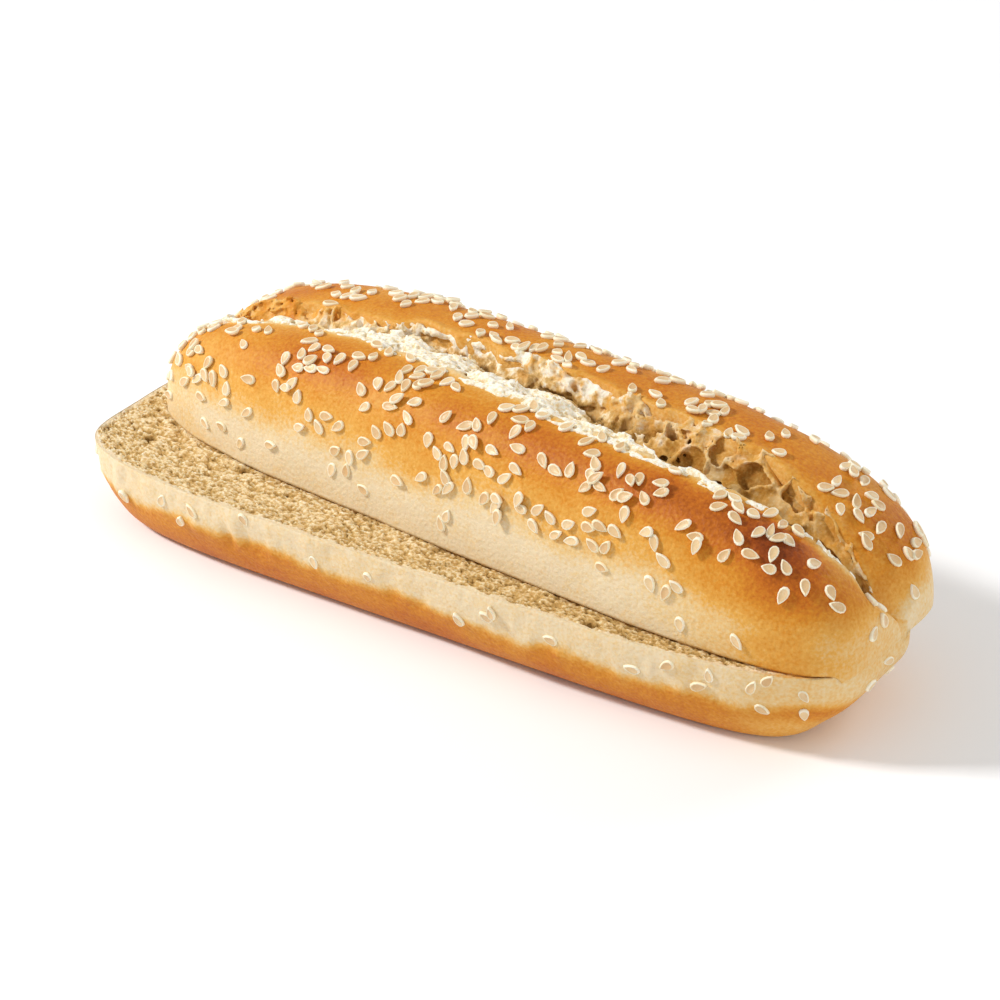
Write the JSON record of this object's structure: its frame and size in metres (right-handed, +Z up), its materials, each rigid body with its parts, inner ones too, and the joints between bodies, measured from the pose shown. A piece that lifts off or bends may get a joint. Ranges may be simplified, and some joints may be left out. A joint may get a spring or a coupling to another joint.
{
  "type": "hot dog bun",
  "caption": "Sesame hot dog bun sliced nearly end to end, crown swivelled on the heel with its top burst open, for holding a sausage.",
  "frame": {"origin": "bottom centre of the bounding box, on the surface that the bun rests on", "axes": "+X along the bun towards the end that is still joined, +Y to the rear, away from the bared cut face, +Z up"},
  "size_m": [0.1684, 0.064, 0.0443],
  "materials": {
    "bread": null,
    "sesame": null
  },
  "bodies": {
    "root": {"bun": "bread", "sesame_seed_01": "sesame", "sesame_seed_02": "sesame", "sesame_seed_03": "sesame", "sesame_seed_04": "sesame", "sesame_seed_05": "sesame", "sesame_seed_06": "sesame", "sesame_seed_07": "sesame", "sesame_seed_08": "sesame", "sesame_seed_09": "sesame", "sesame_seed_10": "sesame", "sesame_seed_11": "sesame", "sesame_seed_12": "sesame", "sesame_seed_13": "sesame", "sesame_seed_14": "sesame", "sesame_seed_15": "sesame", "sesame_seed_16": "sesame", "sesame_seed_17": "sesame", "sesame_seed_18": "sesame", "sesame_seed_19": "sesame", "sesame_seed_20": "sesame", "sesame_seed_21": "sesame", "sesame_seed_22": "sesame", "sesame_seed_23": "sesame", "sesame_seed_24": "sesame", "sesame_seed_25": "sesame", "sesame_seed_26": "sesame", "sesame_seed_27": "sesame", "sesame_seed_28": "sesame", "sesame_seed_29": "sesame", "sesame_seed_30": "sesame", "sesame_seed_31": "sesame", "sesame_seed_32": "sesame", "sesame_seed_33": "sesame", "sesame_seed_34": "sesame", "sesame_seed_35": "sesame", "sesame_seed_36": "sesame", "sesame_seed_37": "sesame", "sesame_seed_38": "sesame", "sesame_seed_39": "sesame", "sesame_seed_40": "sesame", "sesame_seed_41": "sesame", "sesame_seed_42": "sesame", "sesame_seed_43": "sesame", "sesame_seed_44": "sesame", "sesame_seed_45": "sesame", "sesame_seed_46": "sesame", "sesame_seed_47": "sesame", "sesame_seed_48": "sesame", "sesame_seed_49": "sesame", "sesame_seed_50": "sesame", "sesame_seed_51": "sesame", "sesame_seed_52": "sesame", "sesame_seed_53": "sesame", "sesame_seed_54": "sesame", "sesame_seed_55": "sesame", "sesame_seed_56": "sesame", "sesame_seed_57": "sesame", "sesame_seed_58": "sesame", "sesame_seed_59": "sesame"}
  },
  "joints": []
}
